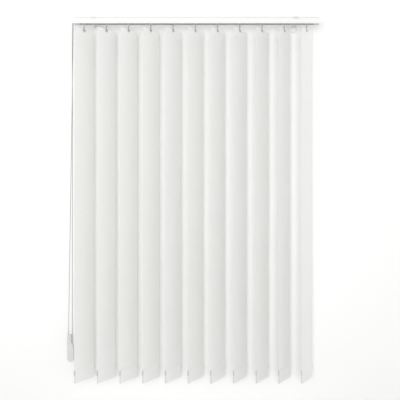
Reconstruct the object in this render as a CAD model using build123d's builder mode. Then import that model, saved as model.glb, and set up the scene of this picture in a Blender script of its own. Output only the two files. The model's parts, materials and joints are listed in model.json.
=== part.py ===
from build123d import *
from math import cos, pi, radians, sin, tan
import os

# Vertical blind, millimetres. +X along the headrail, -Y into the room, +Z up.
# The origin is the centre of the wall-fixing holes, on the wall.

os.makedirs("parts", exist_ok=True)

# --- driving dimensions ---
louvre_count = 11
louvre_width = 127.0
louvre_pitch = 111.5
louvre_length = 1757.5
louvre_angle = 55.0        # from the rail line, at rest
middle_pivot_x = 2.0
wall_gap = 75.0            # from the wall to the line of pivots
gap_below_rail = 26.3

cloth = 0.5                # cloth thickness
pocket_gap = 0.1           # free space on each side of what a pocket holds

rail_left = -601.0
rail_right = 620.0
rail_top = 21.5
rail_height = 30.0
rail_depth = 38.0
rail_wall = 1.4
rail_crown_radius = 4.5    # of its two upper edges
rail_edge_radius = 1.8     # of its two lower edges
slot_width = 13.0
lip_height = 1.2
groove_height = 1.4
groove_depth = 0.7
groove_z = 15.2

bracket_x = 504.0          # each side of the origin
bracket_width = 30.0
bracket_thickness = 2.0
fixing_hole_radius = 2.25
fixing_hole_rise = 11.0    # each side of the origin
bracket_leg_bottom = -20.0

rod_radius = 2.5
rod_z = 6.0
running_clearance = 0.05

carrier_length = 18.0
carrier_width = 16.0
carrier_bottom = -5.4
carrier_top = 9.6
strip_thickness = 0.4
strip_level_pitch = 0.55

cord_radius = 1.2
inner_cord_radius = 0.9
drive_pitch_radius = 8.0
traverse_pitch_radius = 9.0
traverse_cord_z = 12.5
cord_x = -612.5            # where the loop comes out of the control end

weight_pulley_radius = 9.75
weight_pulley_x = -624.8
weight_pulley_z = -1651.0
weight_left = -639.0
weight_right = -606.0
weight_neck_right = -618.0
weight_top = -1563.5
weight_shoulder_z = -1607.0
weight_bottom = -1698.5
weight_depth = 17.0

# --- derived places ---
rail_y = -wall_gap
rail_bottom = rail_top - rail_height
rail_inner_floor = rail_bottom + rail_wall
louvre_top = rail_bottom - gap_below_rail
louvre_bottom = louvre_top - louvre_length
middle_louvre = (louvre_count + 1) // 2
louvre_numbers = range(1, louvre_count + 1)
along = Vector(cos(radians(louvre_angle)), sin(radians(louvre_angle)), 0)
across = Vector(-along.Y, along.X, 0)


def pivot_x(number):
    """X of a louvre's pivot, counted from the control end."""
    return middle_pivot_x + (number - middle_louvre) * louvre_pitch


def section_plane(number):
    """Plane across a louvre: local x through its thickness, local y up."""
    return Plane((pivot_x(number), rail_y, 0), x_dir=across, z_dir=along)


def face_plane(number):
    """Plane of a louvre's face: local x along its width, local y up."""
    return Plane((pivot_x(number), rail_y, 0), x_dir=along, z_dir=-across)


def rail_plane(x):
    """Plane across the headrail at x: local x is Y from the rail's middle, local y is Z."""
    return Plane((x, rail_y, 0), x_dir=(0, 1, 0), z_dir=(1, 0, 0))


def flat_plane(x, z):
    """Level plane over the line of pivots, centred at x."""
    return Plane((x, rail_y, z), x_dir=(1, 0, 0), z_dir=(0, 0, 1))


# --- the rail's outline and its hollow, both drawn up from their lower sides ---
with BuildSketch() as outline:
    Rectangle(rail_depth, rail_height, align=(Align.CENTER, Align.MIN))
    fillet(outline.vertices().group_by(Axis.Y)[-1], radius=rail_crown_radius)
    fillet(outline.vertices().group_by(Axis.Y)[0], radius=rail_edge_radius)
rail_outline = Pos(0, rail_bottom) * outline.sketch

with BuildSketch() as hollow:
    Rectangle(rail_depth - 2 * rail_wall, rail_height - 2 * rail_wall, align=(Align.CENTER, Align.MIN))
    fillet(hollow.vertices().group_by(Axis.Y)[-1], radius=rail_crown_radius - rail_wall)
rail_hollow = Pos(0, rail_inner_floor) * hollow.sketch

# --- headrail: one extrusion, open below ---
with BuildPart() as headrail:
    with BuildSketch(rail_plane(rail_left)):
        add(rail_outline)
        add(rail_hollow, mode=Mode.SUBTRACT)
        with Locations((0, rail_bottom)):
            Rectangle(slot_width, 4 * rail_wall, mode=Mode.SUBTRACT)
        # upturned lips beside the slot keep the rollers on their ledges
        lip_y = slot_width / 2 + rail_wall / 2
        with Locations((-lip_y, rail_inner_floor), (lip_y, rail_inner_floor)):
            Rectangle(rail_wall, lip_height, align=(Align.CENTER, Align.MIN))
        # grooves that the clips' toes hold
        with Locations((-rail_depth / 2, groove_z), (rail_depth / 2, groove_z)):
            Rectangle(2 * groove_depth, groove_height, mode=Mode.SUBTRACT)
    extrude(amount=rail_right - rail_left)
headrail.part.label = "headrail"
export_step(headrail.part, "parts/headrail.step")

# --- end caps: a block flush with the rail and a plug inside it ---
plug_clearance = 0.1
plug_width = rail_depth - 2 * rail_wall - 2 * plug_clearance
plug_floor = rail_inner_floor + lip_height + plug_clearance
plug_top = 9.8
control_cap_length = 18.0
idle_cap_length = 12.0
plug_length = 23.0
pulley_set_in = 12.0       # from the rail's end to a traverse pulley's axis
pulley_pin_radius = 2.0
pulley_bore_radius = pulley_pin_radius + running_clearance
pulley_pin_top = 15.2
traverse_left_x = rail_left + pulley_set_in
traverse_right_x = rail_right - pulley_set_in
wheel_width = 7.2
wheel_rim_radius = 9.6
wheel_space = 0.5

with BuildPart() as control_end_cap:
    with BuildSketch(rail_plane(rail_left - control_cap_length)):
        add(rail_outline)
    extrude(amount=control_cap_length)
    outer_low_edge = control_end_cap.faces().sort_by(Axis.X)[0].edges().sort_by(Axis.Z)[0]
    fillet(outer_low_edge, radius=7.0)
    with BuildSketch(rail_plane(rail_left)):
        with Locations((0, plug_floor)):
            Rectangle(plug_width, plug_top - plug_floor, align=(Align.CENTER, Align.MIN))
    extrude(amount=plug_length)
    with BuildSketch(flat_plane(traverse_left_x, plug_top)):
        Circle(pulley_pin_radius)
    extrude(amount=pulley_pin_top - plug_top)
    # the drive wheel's chamber, with room for the cord over it
    chamber_half = wheel_width / 2 + wheel_space
    with BuildSketch(rail_plane(cord_x - chamber_half)):
        with Locations((0, rod_z)):
            Circle(wheel_rim_radius + wheel_space)
    extrude(amount=2 * chamber_half, mode=Mode.SUBTRACT)
    with BuildSketch(rail_plane(cord_x)):
        with Locations((0, rod_z)):
            Circle(rod_radius + running_clearance)
    extrude(amount=rail_left + plug_length - cord_x, mode=Mode.SUBTRACT)
    # two cord outlets below
    with BuildSketch(Plane.XY.offset(rail_bottom)):
        with Locations((cord_x, rail_y - drive_pitch_radius), (cord_x, rail_y + drive_pitch_radius)):
            Circle(cord_radius + 0.5)
    extrude(amount=rod_z - rail_bottom, mode=Mode.SUBTRACT)
control_end_cap.part.label = "control_end_cap"
export_step(control_end_cap.part, "parts/control_end_cap.step")

rod_right = rail_right - 8.0
with BuildPart() as idle_end_cap:
    with BuildSketch(rail_plane(rail_right)):
        add(rail_outline)
    extrude(amount=idle_cap_length)
    outer_low_edge = idle_end_cap.faces().sort_by(Axis.X)[-1].edges().sort_by(Axis.Z)[0]
    fillet(outer_low_edge, radius=7.0)
    with BuildSketch(rail_plane(rail_right)):
        with Locations((0, plug_floor)):
            Rectangle(plug_width, plug_top - plug_floor, align=(Align.CENTER, Align.MIN))
    extrude(amount=-plug_length)
    with BuildSketch(flat_plane(traverse_right_x, plug_top)):
        Circle(pulley_pin_radius)
    extrude(amount=pulley_pin_top - plug_top)
    with BuildSketch(rail_plane(rail_right - plug_length)):
        with Locations((0, rod_z)):
            Circle(rod_radius + running_clearance)
    extrude(amount=rod_right + 1 - (rail_right - plug_length), mode=Mode.SUBTRACT)
idle_end_cap.part.label = "idle_end_cap"
export_step(idle_end_cap.part, "parts/idle_end_cap.step")

# --- tilt rod with its three keyways, and the drive wheel fixed on its end ---
with BuildPart() as tilt_rod:
    with BuildSketch(rail_plane(cord_x - wheel_width / 2)):
        with Locations((0, rod_z)):
            Circle(rod_radius)
            with PolarLocations(rod_radius, 3):
                Circle(0.5, mode=Mode.SUBTRACT)
    extrude(amount=rod_right - cord_x + wheel_width / 2)
tilt_rod.part.label = "tilt_rod"
export_step(tilt_rod.part, "parts/tilt_rod.step")


def groove_section(pitch_radius, rim_radius, half_width, cord, bore):
    """Half section of a grooved pulley: x out from its axis, y along it."""
    floor_radius = pitch_radius - cord - 0.1
    with BuildSketch(mode=Mode.PRIVATE) as section:
        with Locations(((bore + rim_radius) / 2, 0)):
            Rectangle(rim_radius - bore, 2 * half_width)
        with BuildLine():
            Polyline(
                (rim_radius + 1, half_width - 0.5),
                (rim_radius, half_width - 0.7),
                (floor_radius, cord + 0.1),
                (floor_radius, -cord - 0.1),
                (rim_radius, -half_width + 0.7),
                (rim_radius + 1, -half_width + 0.5),
                close=True,
            )
        make_face(mode=Mode.SUBTRACT)
    return section.sketch


drive_section = groove_section(
    drive_pitch_radius, wheel_rim_radius, wheel_width / 2, cord_radius, rod_radius
)
with BuildPart() as drive_wheel:
    # radius up, axis along X
    with BuildSketch(Plane((cord_x, rail_y, rod_z), x_dir=(0, 0, 1), z_dir=(0, 1, 0))):
        add(drive_section)
    revolve(axis=Axis((cord_x, rail_y, rod_z), (1, 0, 0)))
drive_wheel.part.label = "drive_wheel"
export_step(drive_wheel.part, "parts/drive_wheel.step")

# --- traverse pulleys at the two ends of the rail, on upright pins ---
traverse_section = groove_section(
    traverse_pitch_radius, traverse_pitch_radius + 1.4, 2.1, inner_cord_radius, pulley_bore_radius
)
with BuildPart() as traverse_pulley:
    with BuildSketch(Plane((traverse_left_x, rail_y, traverse_cord_z), x_dir=(1, 0, 0), z_dir=(0, -1, 0))):
        add(traverse_section)
    revolve(axis=Axis((traverse_left_x, rail_y, traverse_cord_z), (0, 0, 1)))
traverse_pulley.part.label = "traverse_pulley"
export_step(traverse_pulley.part, "parts/traverse_pulley.step")

with BuildPart() as idle_pulley:
    with BuildSketch(Plane((traverse_right_x, rail_y, traverse_cord_z), x_dir=(1, 0, 0), z_dir=(0, -1, 0))):
        add(traverse_section)
    revolve(axis=Axis((traverse_right_x, rail_y, traverse_cord_z), (0, 0, 1)))
idle_pulley.part.label = "idle_pulley"
export_step(idle_pulley.part, "parts/idle_pulley.step")

# --- traverse cord: an endless loop round the two pulleys, taut inside the rail ---
with BuildPart() as traverse_cord:
    with BuildLine(flat_plane(0, traverse_cord_z)) as traverse_route:
        Line((traverse_left_x, traverse_pitch_radius), (traverse_right_x, traverse_pitch_radius))
        CenterArc((traverse_right_x, 0), traverse_pitch_radius, -90, 180)
        Line((traverse_right_x, -traverse_pitch_radius), (traverse_left_x, -traverse_pitch_radius))
        CenterArc((traverse_left_x, 0), traverse_pitch_radius, 90, 180)
    with BuildSketch(Plane((0, rail_y + traverse_pitch_radius, traverse_cord_z), z_dir=(1, 0, 0))):
        Circle(inner_cord_radius)
    sweep(path=traverse_route.wire())
traverse_cord.part.label = "traverse_cord"
export_step(traverse_cord.part, "parts/traverse_cord.step")

# --- wall brackets: a leg on the wall, an arm over the rail and a web at each side ---
clip_thickness = 1.2
clip_top = rail_top + clip_thickness
arm_bottom = clip_top
arm_top = arm_bottom + bracket_thickness
arm_end = rail_y - 13.0
web_foot = -13.0
web_reach = -47.0
stud_radius = 2.0
for side, name in ((-1, "bracket_left"), (1, "bracket_right")):
    with BuildPart() as bracket:
        left_face = side * bracket_x - bracket_width / 2
        with BuildSketch(Plane((left_face, 0, 0), x_dir=(0, 1, 0), z_dir=(1, 0, 0))):
            with BuildLine():
                Polyline(
                    (0, bracket_leg_bottom),
                    (0, arm_top),
                    (arm_end, arm_top),
                    (arm_end, arm_bottom),
                    (-bracket_thickness, arm_bottom),
                    (-bracket_thickness, bracket_leg_bottom),
                    close=True,
                )
            make_face()
        extrude(amount=bracket_width)
        long_edges = bracket.edges().filter_by(Axis.X)
        bend_edges = long_edges.filter_by_position(Axis.Z, arm_bottom - 0.1, arm_top + 0.1)
        inner_bend, outer_bend = bend_edges.sort_by(Axis.Y)[-2:]
        fillet(inner_bend, radius=1.0)
        fillet(outer_bend, radius=2.5)
        upright_edges = bracket.edges().filter_by(Axis.Z)
        corner_edges = upright_edges.filter_by_position(Axis.Y, arm_end - 0.1, arm_end + 0.1)
        fillet(corner_edges, radius=5.0)
        foot_edges = bracket.edges().filter_by(Axis.Y).filter_by_position(
            Axis.Z, bracket_leg_bottom - 0.1, bracket_leg_bottom + 0.1
        )
        fillet(foot_edges, radius=4.0)
        for web_left in (left_face, left_face + bracket_width - bracket_thickness):
            with BuildSketch(Plane((web_left, 0, 0), x_dir=(0, 1, 0), z_dir=(1, 0, 0))):
                with BuildLine():
                    Polyline(
                        (-bracket_thickness / 2, web_foot),
                        (-bracket_thickness / 2, arm_bottom + bracket_thickness / 2),
                        (web_reach, arm_bottom + bracket_thickness / 2),
                        (web_reach, arm_bottom),
                        (-bracket_thickness, web_foot),
                        close=True,
                    )
                make_face()
            extrude(amount=bracket_thickness)
        with BuildSketch(Plane.XZ):
            with Locations((side * bracket_x, -fixing_hole_rise), (side * bracket_x, fixing_hole_rise)):
                Circle(fixing_hole_radius)
        extrude(amount=bracket_thickness + 1, mode=Mode.SUBTRACT)
        # the stud of the clip comes up through a short slot, so the rail can be set in or out
        with BuildSketch(flat_plane(side * bracket_x, arm_bottom - 1)):
            SlotOverall(12.0, 2 * stud_radius + 0.4, rotation=90)
        extrude(amount=bracket_thickness + 2, mode=Mode.SUBTRACT)
    bracket.part.label = name
    export_step(bracket.part, f"parts/{name}.step")

# --- rail clips: a spring plate over the rail, with toes in its grooves and a stud ---
clip_width = 24.0
clip_gap = 0.1
clip_leg_low = groove_z - 2.2
stud_top = arm_top + 4.6
with BuildPart() as rail_clips:
    for side in (-1, 1):
        with BuildSketch(rail_plane(side * bracket_x - clip_width / 2)):
            outer = rail_depth / 2 + clip_gap + clip_thickness
            with Locations((0, clip_top)):
                Rectangle(2 * outer, clip_top - clip_leg_low, align=(Align.CENTER, Align.MAX))
            with Locations((0, rail_top)):
                inner_width = 2 * (outer - clip_thickness)
                leg = rail_top - clip_leg_low
                Rectangle(inner_width, leg, align=(Align.CENTER, Align.MAX), mode=Mode.SUBTRACT)
            toe_y = rail_depth / 2 - groove_depth + clip_gap
            toe_mid = (toe_y + outer) / 2
            with Locations((-toe_mid, groove_z), (toe_mid, groove_z)):
                Rectangle(outer - toe_y, groove_height - 2 * clip_gap)
        extrude(amount=clip_width)
        with BuildSketch(flat_plane(side * bracket_x, rail_top + clip_thickness / 2)):
            Circle(stud_radius)
        extrude(amount=stud_top - rail_top - clip_thickness / 2)
    stud_rims = rail_clips.edges().filter_by(GeomType.CIRCLE).group_by(Axis.Z)[-1]
    chamfer(stud_rims, length=0.5)
rail_clips.part.label = "rail_clips"
export_step(rail_clips.part, "parts/rail_clips.step")

# --- nuts that hold the brackets' arms down on the clips ---
nut_height = 3.2
nut_apothem = 3.5
washer_radius = 4.6
washer_thickness = 0.8
with BuildPart() as clip_nuts:
    for side in (-1, 1):
        with BuildSketch(flat_plane(side * bracket_x, arm_top)):
            Circle(washer_radius)
            Circle(stud_radius, mode=Mode.SUBTRACT)
        extrude(amount=washer_thickness)
        with BuildSketch(flat_plane(side * bracket_x, arm_top + washer_thickness)):
            RegularPolygon(nut_apothem, 6, major_radius=False)
            Circle(stud_radius, mode=Mode.SUBTRACT)
        extrude(amount=nut_height - washer_thickness)
clip_nuts.part.label = "clip_nuts"
export_step(clip_nuts.part, "parts/clip_nuts.step")

# --- carriers: rollers on the ledges, a boss for the hook, and a spacer strip to the next one ---
boss_radius = 5.5
boss_bottom = -10.5
disc_radius = 4.5
disc_bottom = -3.3
disc_top = 1.2
spindle_radius = 2.5
roller_radius = 3.2
roller_z = rail_inner_floor + running_clearance + roller_radius
roller_inner_y = 9.6
roller_outer_y = 13.4
roller_x = 5.4
stub_radius = 1.0
strip_width = 8.0
strip_first_z = carrier_top + 0.4
strip_back = 5.0
peg_radius = 1.2
pad_length = 8.0           # of the block that lifts a strip, and of the cord clamp
pad_width = 6.0
clamp_width = 4.0
clamp_cover = 2.0          # over the cord's middle
for number in louvre_numbers:
    centre_x = pivot_x(number)
    with BuildPart() as carrier:
        with BuildSketch(flat_plane(centre_x, carrier_bottom)):
            RectangleRounded(carrier_length, carrier_width, 2.0)
        extrude(amount=carrier_top - carrier_bottom)
        with BuildSketch(flat_plane(centre_x, boss_bottom)):
            Circle(boss_radius)
        extrude(amount=carrier_bottom - boss_bottom)
        with BuildSketch(Plane((centre_x, rail_y, roller_z), x_dir=(1, 0, 0), z_dir=(0, -1, 0))):
            with Locations((-roller_x, 0), (roller_x, 0)):
                Circle(stub_radius)
        extrude(amount=roller_outer_y, both=True)
        with BuildSketch(flat_plane(centre_x, disc_bottom - running_clearance)):
            Circle(disc_radius + 0.2)
        extrude(amount=disc_top - disc_bottom + 0.3, mode=Mode.SUBTRACT)
        with BuildSketch(flat_plane(centre_x, boss_bottom)):
            Circle(spindle_radius + running_clearance)
        extrude(amount=disc_top - boss_bottom, mode=Mode.SUBTRACT)
        with BuildSketch(rail_plane(centre_x - carrier_length)):
            with Locations((0, rod_z)):
                Circle(rod_radius + running_clearance)
        extrude(amount=2 * carrier_length, mode=Mode.SUBTRACT)
        for inner_y in (-roller_outer_y + 0.2, roller_inner_y):
            with BuildSketch(Plane((centre_x, rail_y + inner_y, roller_z), x_dir=(1, 0, 0), z_dir=(0, 1, 0))):
                with Locations((-roller_x, 0), (roller_x, 0)):
                    Circle(roller_radius)
                    Circle(stub_radius + running_clearance, mode=Mode.SUBTRACT)
            extrude(amount=roller_outer_y - roller_inner_y - 0.2)
        if number < louvre_count:
            # each strip runs over the carriers beyond it, so the first carrier's strip is the highest
            strip_z = strip_first_z + (louvre_count - 1 - number) * strip_level_pitch
            with BuildSketch(flat_plane(centre_x, carrier_top)):
                Rectangle(pad_length, pad_width)
            extrude(amount=strip_z - carrier_top - running_clearance)
            with BuildSketch(flat_plane(centre_x, carrier_top)):
                Circle(peg_radius)
            extrude(amount=strip_z + strip_thickness - carrier_top)
            strip_length = louvre_pitch + 2 * strip_back
            with BuildSketch(flat_plane(centre_x - strip_back + strip_length / 2, strip_z)):
                RectangleRounded(strip_length, strip_width, 1.5)
                with Locations((strip_back - strip_length / 2, 0)):
                    Circle(peg_radius + running_clearance, mode=Mode.SUBTRACT)
            extrude(amount=strip_thickness)
        else:
            # the leading carrier grips the front strand of the traverse cord
            clamp_y = -traverse_pitch_radius
            with BuildSketch(flat_plane(centre_x, carrier_top - 1)):
                with Locations((0, clamp_y + 0.6)):
                    Rectangle(pad_length, clamp_width)
            extrude(amount=traverse_cord_z + clamp_cover - carrier_top + 1)
            with BuildSketch(rail_plane(centre_x - carrier_length)):
                with Locations((clamp_y, traverse_cord_z)):
                    Circle(inner_cord_radius + running_clearance)
            extrude(amount=2 * carrier_length, mode=Mode.SUBTRACT)
    carrier.part.label = f"carrier_{number:02d}"
    export_step(carrier.part, f"parts/carrier_{number:02d}.step")

# --- hooks and hangers: a turning hook in each carrier and the flat hanger it holds ---
hanger_width = 119.0
hanger_height = 24.0
hanger_thickness = 1.6
hanger_top = louvre_top - cloth - pocket_gap
eye_width = 9.0
eye_height = 5.0
eye_web = 5.0
hook_blade_width = 6.0
hook_section = 1.8
hook_side = hanger_thickness / 2 + 0.4 + hook_section / 2
hook_jog_top = louvre_top + 8.0
hook_jog_drop = 4.0
hook_return = 3.2          # the hook's short leg, above its bight
hook_bight_z = hanger_top - eye_web - running_clearance - hook_section / 2
collar_radius = 4.0
stem_tip_radius = 2.3
for number in louvre_numbers:
    centre_x = pivot_x(number)
    with BuildPart() as hanger:
        # turned part: the wheel inside the carrier, the spindle, the collar and the tapered stem
        with BuildSketch(Plane((centre_x, rail_y, 0), x_dir=(1, 0, 0), z_dir=(0, -1, 0))):
            with BuildLine():
                Polyline(
                    (0, disc_top),
                    (disc_radius, disc_top),
                    (disc_radius, disc_bottom),
                    (spindle_radius, disc_bottom),
                    (spindle_radius, boss_bottom - 0.2),
                    (collar_radius, boss_bottom - 0.2),
                    (collar_radius, boss_bottom - 3.0),
                    (stem_tip_radius, hook_jog_top),
                    (0, hook_jog_top - 1.0),
                    close=True,
                )
            make_face()
        revolve(axis=Axis((centre_x, rail_y, 0), (0, 0, 1)))
        # flat hook: down one side of the hanger, through its eye and up the other
        with BuildSketch(section_plane(number)):
            with BuildLine():
                hook_line = Polyline(
                    (0, hook_jog_top + 2.0),
                    (hook_side, hook_jog_top - hook_jog_drop),
                    (hook_side, hook_bight_z),
                    (-hook_side, hook_bight_z),
                    (-hook_side, hook_bight_z + hook_return),
                )
                offset(hook_line, amount=hook_section / 2, side=Side.BOTH)
            make_face()
        extrude(amount=hook_blade_width / 2, both=True)
        # hanger plate, with rounded corners and the eye near its top edge
        with BuildSketch(face_plane(number)):
            with Locations((0, hanger_top - hanger_height / 2)):
                RectangleRounded(hanger_width, hanger_height, 3.0)
            with Locations((0, hanger_top - eye_web - eye_height / 2)):
                Rectangle(eye_width, eye_height, mode=Mode.SUBTRACT)
        extrude(amount=hanger_thickness / 2, both=True)
    hanger.part.label = f"hanger_{number:02d}"
    export_step(hanger.part, f"parts/hanger_{number:02d}.step")

# --- louvres: one strip of cloth each, with a pocket at the top and at the bottom ---
top_hem = 28.0
top_pocket = hanger_height + 2 * pocket_gap
weight_plate_thickness = 2.4
weight_plate_height = 65.0
bottom_hem = 69.0
bottom_pocket = weight_plate_height + 2 * pocket_gap
notch_width = 16.0
notch_depth = 15.0
top_hem_thickness = hanger_thickness + 2 * pocket_gap + 2 * cloth
bottom_hem_thickness = weight_plate_thickness + 2 * pocket_gap + 2 * cloth
for number in louvre_numbers:
    with BuildPart() as louvre:
        with BuildSketch(section_plane(number)):
            with Locations((0, (louvre_top + louvre_bottom) / 2)):
                Rectangle(cloth, louvre_length)
            with Locations((0, louvre_top)):
                Rectangle(top_hem_thickness, top_hem, align=(Align.CENTER, Align.MAX))
            with Locations((0, louvre_bottom)):
                Rectangle(bottom_hem_thickness, bottom_hem, align=(Align.CENTER, Align.MIN))
            with Locations((0, louvre_top - cloth)):
                top_space = hanger_thickness + 2 * pocket_gap
                Rectangle(top_space, top_pocket, align=(Align.CENTER, Align.MAX), mode=Mode.SUBTRACT)
            with Locations((0, louvre_bottom + cloth)):
                bottom_space = weight_plate_thickness + 2 * pocket_gap
                Rectangle(bottom_space, bottom_pocket, align=(Align.CENTER, Align.MIN), mode=Mode.SUBTRACT)
        extrude(amount=louvre_width / 2, both=True)
        # the notch in the top hem, where the hook reaches the hanger's eye
        with BuildSketch(face_plane(number)):
            with Locations((0, louvre_top - notch_depth / 2 + 2)):
                RectangleRounded(notch_width, notch_depth + 4, 3.0)
        extrude(amount=top_hem_thickness, both=True, mode=Mode.SUBTRACT)
    louvre.part.label = f"louvre_{number:02d}"
    export_step(louvre.part, f"parts/louvre_{number:02d}.step")

# --- bottom weights: a flat plate in each lower pocket, with a lug out of each side ---
weight_plate_width = 121.0
lug_reach = 66.7
lug_height = 25.0
lug_mid = 52.0
for number in louvre_numbers:
    with BuildPart() as bottom_weight:
        plate_bottom = louvre_bottom + cloth + pocket_gap
        with BuildSketch(face_plane(number)):
            with Locations((0, plate_bottom + weight_plate_height / 2)):
                RectangleRounded(weight_plate_width, weight_plate_height, 5.0)
            with Locations((0, louvre_bottom + lug_mid)):
                RectangleRounded(2 * lug_reach, lug_height, 3.5)
        extrude(amount=weight_plate_thickness / 2, both=True)
    bottom_weight.part.label = f"bottom_weight_{number:02d}"
    export_step(bottom_weight.part, f"parts/bottom_weight_{number:02d}.step")

# --- control cord: an endless loop over the drive wheel and under the weight's pulley ---
strand_right_x = weight_pulley_x + weight_pulley_radius
strand_left_x = weight_pulley_x - weight_pulley_radius
front_y = rail_y - drive_pitch_radius
back_y = rail_y + drive_pitch_radius
straight_out = 22.0
straight_in = 40.0
front_points = [
    Vector(cord_x, front_y, rod_z),
    Vector(cord_x, front_y, rail_bottom - straight_out),
    Vector(strand_right_x, rail_y, weight_pulley_z + straight_in),
    Vector(strand_right_x, rail_y, weight_pulley_z),
]
back_points = [
    Vector(strand_left_x, rail_y, weight_pulley_z),
    Vector(strand_left_x, rail_y, weight_pulley_z + straight_in),
    Vector(cord_x, back_y, rail_bottom - straight_out),
    Vector(cord_x, back_y, rod_z),
]


def corner_radii(points):
    """The largest arcs that the runs of a route allow, one for each corner."""
    radii = []
    for before, corner, after in zip(points, points[1:], points[2:]):
        run_in = corner - before
        run_out = after - corner
        half_turn = radians(run_in.get_angle(run_out)) / 2
        radii.append(0.45 * min(run_in.length, run_out.length) / tan(half_turn))
    return radii


print("control cord radii:", [round(r) for r in corner_radii(front_points) + corner_radii(back_points)])
loop_length = pi * (weight_pulley_radius + drive_pitch_radius)
with BuildPart() as loop_cord:
    for points in (front_points, back_points):
        with BuildLine() as strand_route:
            FilletPolyline(*points, radius=corner_radii(points))
        with BuildSketch(Plane(points[0], z_dir=points[1] - points[0])):
            Circle(cord_radius)
        sweep(path=strand_route.wire())
        loop_length += strand_route.wire().length
    # the half turns under the weight's pulley and over the drive wheel
    with BuildSketch(Plane(front_points[-1], x_dir=(1, 0, 0), z_dir=(0, 0, 1))):
        Circle(cord_radius)
    revolve(axis=Axis((weight_pulley_x, rail_y, weight_pulley_z), (0, 1, 0)), revolution_arc=180)
    with BuildSketch(Plane(front_points[0], x_dir=(1, 0, 0), z_dir=(0, 0, 1))):
        Circle(cord_radius)
    revolve(axis=Axis((cord_x, rail_y, rod_z), (-1, 0, 0)), revolution_arc=180)
print("control cord length:", round(loop_length, 1))
print("control cord volume / expected:", loop_cord.part.volume / (pi * cord_radius**2 * loop_length))
loop_cord.part.label = "loop_cord"
export_step(loop_cord.part, "parts/loop_cord.step")

# --- cord weight: two moulded halves round a pulley, with a slim neck over the left strand ---
weight_pulley_rim = 11.4
weight_pulley_half = 2.6
weight_pin_radius = 2.5
outer_round = 3.5
channel_radius = cord_radius + 0.9
pocket_half = weight_pulley_half + 0.15
crown_left_radius = 4.0
crown_right_radius = 5.0
shoulder_step = 5.4
shoulder_run = 40.0        # from the shoulder down to the full width
screw_x = weight_pulley_x - 2.0
screw_drops = (18.0, 42.0)
screw_well_radius = 1.7
screw_well_depth = 2.5


def weight_outline():
    """Front view of the cord weight: x along the rail, y up."""
    round_z = weight_bottom + (weight_right - weight_left) / 2
    left_foot = (weight_left, round_z)
    left_side_top = (weight_left, weight_top - crown_left_radius)
    crown_left = (weight_left + crown_left_radius, weight_top)
    crown_right = (weight_neck_right - crown_right_radius, weight_top)
    neck_top = (weight_neck_right, weight_top - crown_right_radius)
    neck_foot = (weight_neck_right, weight_shoulder_z + 2)
    shoulder = (weight_neck_right + shoulder_step, weight_shoulder_z - 2)
    right_side_top = (weight_right, weight_shoulder_z - shoulder_run)
    right_foot = (weight_right, round_z)
    with BuildSketch(mode=Mode.PRIVATE) as front_view:
        with BuildLine():
            Line(left_foot, left_side_top)
            RadiusArc(left_side_top, crown_left, crown_left_radius)
            Line(crown_left, crown_right)
            RadiusArc(crown_right, neck_top, crown_right_radius)
            Line(neck_top, neck_foot)
            Line(neck_foot, shoulder)
            Spline(shoulder, right_side_top, tangents=((0.35, -1), (0, -1)))
            Line(right_side_top, right_foot)
            ThreePointArc(right_foot, ((weight_left + weight_right) / 2, weight_bottom), left_foot)
        make_face()
    return front_view.sketch


for name, side in (("weight_front_shell", -1), ("weight_back_shell", 1)):
    with BuildPart() as shell:
        with BuildSketch(Plane((0, rail_y, 0), x_dir=(1, 0, 0), z_dir=(0, -1, 0))):
            add(weight_outline())
        extrude(amount=-side * weight_depth / 2)
        outer_face = shell.faces().sort_by(Axis.Y)[0 if side < 0 else -1]
        fillet(outer_face.edges(), radius=outer_round)
        # the pulley's pocket and the two cord channels
        pulley_place = (weight_pulley_x, rail_y, weight_pulley_z)
        with BuildSketch(Plane(pulley_place, x_dir=(1, 0, 0), z_dir=(0, side, 0))):
            Circle(weight_pulley_rim + 0.5)
        extrude(amount=pocket_half, mode=Mode.SUBTRACT)
        for strand_x, mouth_z in ((strand_left_x, weight_top + 1), (strand_right_x, weight_shoulder_z + 8)):
            with BuildSketch(flat_plane(strand_x, weight_pulley_z)):
                Circle(channel_radius)
            extrude(amount=mouth_z - weight_pulley_z, mode=Mode.SUBTRACT)
        if side < 0:
            # wells for two sunk screws in the neck
            with BuildSketch(Plane((0, rail_y - weight_depth / 2, 0), x_dir=(1, 0, 0), z_dir=(0, -1, 0))):
                with Locations([(screw_x, weight_top - drop) for drop in screw_drops]):
                    Circle(screw_well_radius)
            extrude(amount=-screw_well_depth, mode=Mode.SUBTRACT)
        else:
            # the pulley's pin, as long as both pockets are deep
            pin_foot = (weight_pulley_x, rail_y + pocket_half + 1, weight_pulley_z)
            with BuildSketch(Plane(pin_foot, z_dir=(0, -1, 0))):
                Circle(weight_pin_radius)
            extrude(amount=2 * pocket_half + 1)
    shell.part.label = name
    export_step(shell.part, f"parts/{name}.step")

weight_pulley_bore = weight_pin_radius + running_clearance
weight_pulley_section = groove_section(
    weight_pulley_radius, weight_pulley_rim, weight_pulley_half, cord_radius, weight_pulley_bore
)
with BuildPart() as weight_pulley:
    with BuildSketch(Plane((weight_pulley_x, rail_y, weight_pulley_z), x_dir=(1, 0, 0), z_dir=(0, 0, 1))):
        add(weight_pulley_section)
    revolve(axis=Axis((weight_pulley_x, rail_y, weight_pulley_z), (0, 1, 0)))
weight_pulley.part.label = "weight_pulley"
export_step(weight_pulley.part, "parts/weight_pulley.step")
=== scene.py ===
import bpy
import bmesh
import json
import math
import random
from mathutils import Matrix, Vector


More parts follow.
